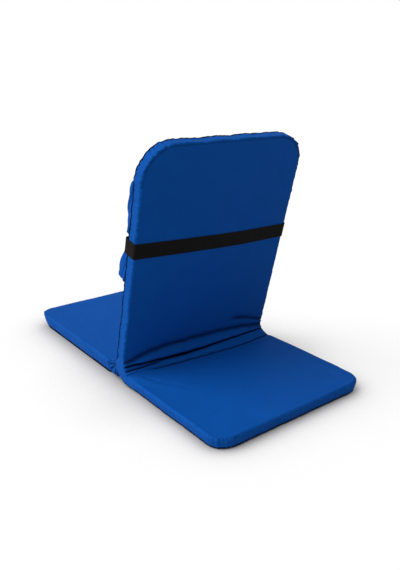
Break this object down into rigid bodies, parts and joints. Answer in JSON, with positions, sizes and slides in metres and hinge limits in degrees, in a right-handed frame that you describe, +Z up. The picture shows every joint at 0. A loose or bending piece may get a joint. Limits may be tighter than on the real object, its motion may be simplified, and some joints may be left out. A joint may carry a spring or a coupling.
{
  "type": "folding floor chair",
  "caption": "Padded legless floor chair: seat, leaning back and rear base hinged on ratchets, with a back pillow held by an elastic strap.",
  "frame": {"origin": "middle of the footprint on the floor: the centre of the overall box in X and Y, at its lowest height", "axes": "+Z up, +Y towards the far edge of the rear base behind the back, +X across the chair to the sitter's left"},
  "size_m": [0.5362, 1.0454, 0.702],
  "materials": {
    "cover_fabric": "satin",
    "foam": "matte",
    "non_slip_cloth": "matte",
    "elastic_webbing": "matte",
    "frame_steel": "satin",
    "hinge_steel": "satin",
    "rivet_steel": "satin"
  },
  "bodies": {
    "back": {"back_cover": "cover_fabric", "back_foam": "foam", "back_frame": "frame_steel", "back_tube_rivets": "rivet_steel", "inner_plate_left": "hinge_steel", "outer_plate_left": "hinge_steel", "inner_plate_right": "hinge_steel", "outer_plate_right": "hinge_steel", "rear_pivot_rivets": "rivet_steel", "rear_pivot_spacers": "rivet_steel", "seat_pivot_rivets": "rivet_steel", "seat_pivot_spacers": "rivet_steel", "pawl_rivets": "rivet_steel", "pawl_spring_left": "rivet_steel", "pawl_spring_right": "rivet_steel"},
    "rear_base": {"rear_base_cover": "cover_fabric", "rear_base_foam": "foam", "rear_base_frame": "frame_steel", "rear_base_underside": "non_slip_cloth", "rear_tube_rivets": "rivet_steel", "rear_arm_left": "hinge_steel", "rear_arm_right": "hinge_steel"},
    "seat": {"seat_cover": "cover_fabric", "seat_foam": "foam", "seat_frame": "frame_steel", "seat_underside": "non_slip_cloth", "seat_tube_rivets": "rivet_steel", "seat_arm_left": "hinge_steel", "seat_arm_right": "hinge_steel"},
    "pillow": {"pillow_cover": "cover_fabric", "pillow_filling": "foam", "strap": "elastic_webbing"},
    "left_pawl": {"pawl_left": "hinge_steel"},
    "right_pawl": {"pawl_right": "hinge_steel"}
  },
  "joints": [
    {"name": "rear_base_fold", "type": "hinge", "parent": "back", "child": "rear_base", "pos_m": [0, 0.0727, 0.037], "axis": [1, 0, 0], "range_deg": [-105, 75]},
    {"name": "seat_fold", "type": "hinge", "parent": "back", "child": "seat", "pos_m": [0, 0.0353, 0.052], "axis": [1, 0, 0], "range_deg": [-91, 75]},
    {"name": "pillow_slide", "type": "slide", "parent": "back", "child": "pillow", "axis": [0, 0.2588, 0.9659], "range_m": [-0.04, 0.04]},
    {"name": "left_pawl_drop", "type": "hinge", "parent": "back", "child": "left_pawl", "pos_m": [0, 0.05312, 0.04438], "axis": [-1, 0, 0], "range_deg": [0, 12]},
    {"name": "right_pawl_drop", "type": "hinge", "parent": "back", "child": "right_pawl", "pos_m": [0, 0.05312, 0.04438], "axis": [-1, 0, 0], "range_deg": [0, 12]}
  ]
}
